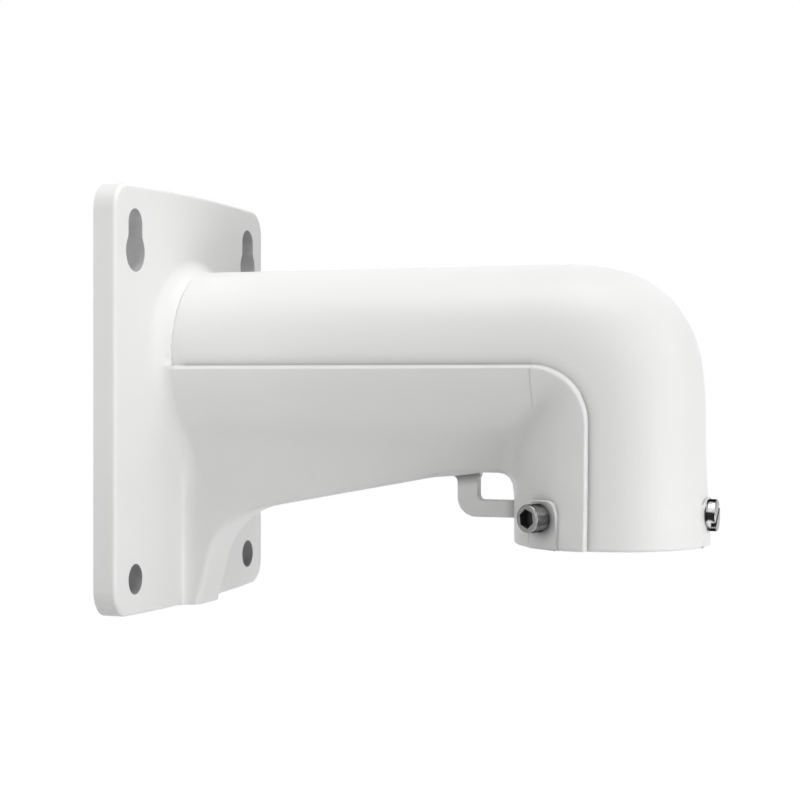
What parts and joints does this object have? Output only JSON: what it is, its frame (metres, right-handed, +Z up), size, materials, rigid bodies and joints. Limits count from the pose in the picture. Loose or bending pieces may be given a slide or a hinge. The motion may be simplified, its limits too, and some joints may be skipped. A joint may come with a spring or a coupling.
{
  "type": "camera wall bracket",
  "caption": "Cast wall bracket for a dome camera: a wall plate, a hollow arm with a keel and a safety hook, and a downward tube with lock screws that holds the camera's neck.",
  "frame": {"origin": "middle of the wall plate's back face, on the wall", "axes": "+X out from the wall along the arm, +Y across the plate, +Z up"},
  "size_m": [0.1926, 0.121, 0.1428],
  "materials": {
    "white_paint": "smooth semi-gloss white powder coat on cast aluminium",
    "stainless": "bright stainless steel"
  },
  "bodies": {
    "root": {"bracket_body": "white_paint", "lock_screw_front": "stainless", "lock_screw_left": "stainless", "lock_screw_right": "stainless"}
  },
  "joints": []
}
